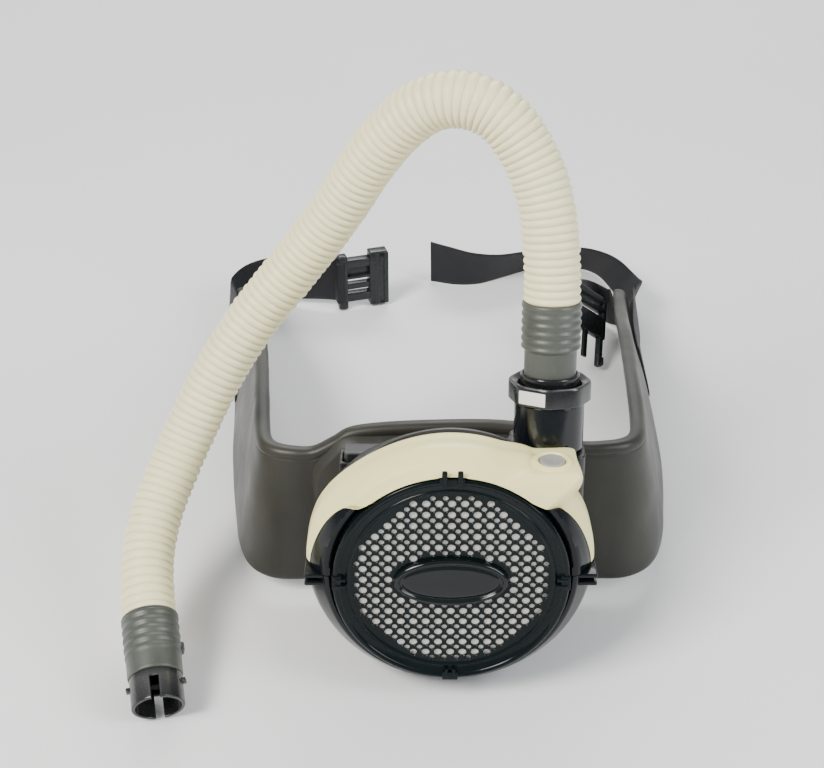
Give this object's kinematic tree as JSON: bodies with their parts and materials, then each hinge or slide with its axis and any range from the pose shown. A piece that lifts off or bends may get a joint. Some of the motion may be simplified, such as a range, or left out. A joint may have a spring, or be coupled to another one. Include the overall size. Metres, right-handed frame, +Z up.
{
  "type": "powered air respirator blower with belt and breathing hose",
  "caption": "Belt-worn round fan-and-filter unit with perforated filter cover, padded waist belt, side-release buckle and corrugated breathing hose.",
  "frame": {"origin": "middle of the respirator's plan outline without its hose, on the surface it rests on", "axes": "+Z up, the filter cover faces -Y, the air outlet stands on the +X side; the blower leans back seven degrees as it rests on its drum and belt"},
  "size_m": [0.4362, 0.6399, 0.4],
  "materials": {
    "cover_black": "glossy moulded",
    "badge_black": "polished dome",
    "prefilter_fleece": "felted fleece",
    "cartridge_grey": "moulded",
    "pleated_media": "pleated glass paper",
    "seal_rubber": "soft moulded",
    "ring_black": "glossy moulded",
    "shell_cream": "satin moulded",
    "housing_black": "fine moulded grain",
    "screw_steel": "zinc plated",
    "inner_plastic": "moulded",
    "fan_plastic": "moulded",
    "motor_steel": "turned",
    "bearing_steel": "ground",
    "mount_aluminium": "machined",
    "stator_iron": "laminated",
    "board_green": "solder mask",
    "component_black": "moulded",
    "button_grey": "soft touch",
    "port_black": "glossy moulded",
    "collar_black": "moulded, scuffed",
    "label_white": "blank paper label",
    "connector_black": "moulded",
    "cuff_grey": "soft moulded ribs",
    "hose_ivory": "corrugated flexible",
    "battery_black": "satin moulded",
    "latch_black": "moulded",
    "contact_brass": "bright",
    "belt_foam": "moulded foam skin, satin",
    "webbing_black": "woven nylon",
    "buckle_black": "moulded nylon"
  },
  "bodies": {
    "root": {"front_ring": "ring_black", "upper_shell": "shell_cream", "rear_housing": "housing_black", "case_screws": "screw_steel", "inlet_plate": "inner_plastic", "inlet_guard": "inner_plastic", "scroll_case": "inner_plastic", "scroll_lid": "inner_plastic", "outlet_duct": "inner_plastic", "front_bearing": "bearing_steel", "rear_bearing": "bearing_steel", "motor_mount": "mount_aluminium", "motor_stator": "stator_iron", "circuit_board": "board_green", "board_components": "component_black", "alarm_buzzer": "component_black", "button_spring": "screw_steel", "button_switch": "component_black", "outlet_port": "port_black", "outlet_oring": "seal_rubber", "hose_connector": "connector_black", "hose_cuff": "cuff_grey", "breathing_hose": "hose_ivory", "mask_end_cuff": "cuff_grey", "mask_end_connector": "connector_black", "battery_cradle": "housing_black", "battery_contacts": "contact_brass", "belt_pad": "belt_foam", "belt_screws": "screw_steel", "left_webbing": "webbing_black", "right_webbing": "webbing_black", "adjuster_strap": "webbing_black", "female_buckle": "buckle_black", "male_buckle": "buckle_black"},
    "fan": {"impeller": "fan_plastic", "rotor_cup": "motor_steel", "motor_shaft": "motor_steel"},
    "button": {"power_button": "button_grey"},
    "collar": {"locking_collar": "collar_black", "collar_label": "label_white"},
    "filter": {"prefilter_pad": "prefilter_fleece", "filter_cartridge": "cartridge_grey", "filter_media": "pleated_media", "filter_gasket": "seal_rubber"},
    "cover": {"filter_cover": "cover_black", "cover_badge": "badge_black"},
    "battery": {"battery_pack": "battery_black"},
    "latch": {"battery_latch": "latch_black"}
  },
  "joints": [
    {"name": "fan_spin", "type": "hinge", "parent": "root", "child": "fan", "pos_m": [0.00316, -0.23827, 0.09459], "axis": [0, 0.9925, -0.1219], "continuous": true},
    {"name": "button_press", "type": "slide", "parent": "root", "child": "button", "axis": [0, -0.1219, -0.9925], "range_m": [0, 0.0014], "stiffness_N_per_m": 600, "springref_m": -0.0005, "deforming": ["button_spring"]},
    {"name": "collar_turn", "type": "hinge", "parent": "root", "child": "collar", "pos_m": [0.06996, -0.21863, 0.19755], "axis": [0, 0.284, 0.9588], "range_deg": [0, 30]},
    {"name": "filter_pull", "type": "slide", "parent": "root", "child": "filter", "axis": [0, -0.9925, 0.1219], "range_m": [0, 0.05]},
    {"name": "cover_pull", "type": "slide", "parent": "filter", "child": "cover", "axis": [0, -0.9925, 0.1219], "range_m": [0, 0.06]},
    {"name": "battery_slide", "type": "slide", "parent": "root", "child": "battery", "axis": [0, 0.1219, 0.9925], "range_m": [0, 0.1]},
    {"name": "latch_press", "type": "slide", "parent": "battery", "child": "latch", "axis": [0, -0.1219, -0.9925], "range_m": [0, 0.003], "stiffness_N_per_m": 800, "springref_m": -0.0005}
  ]
}
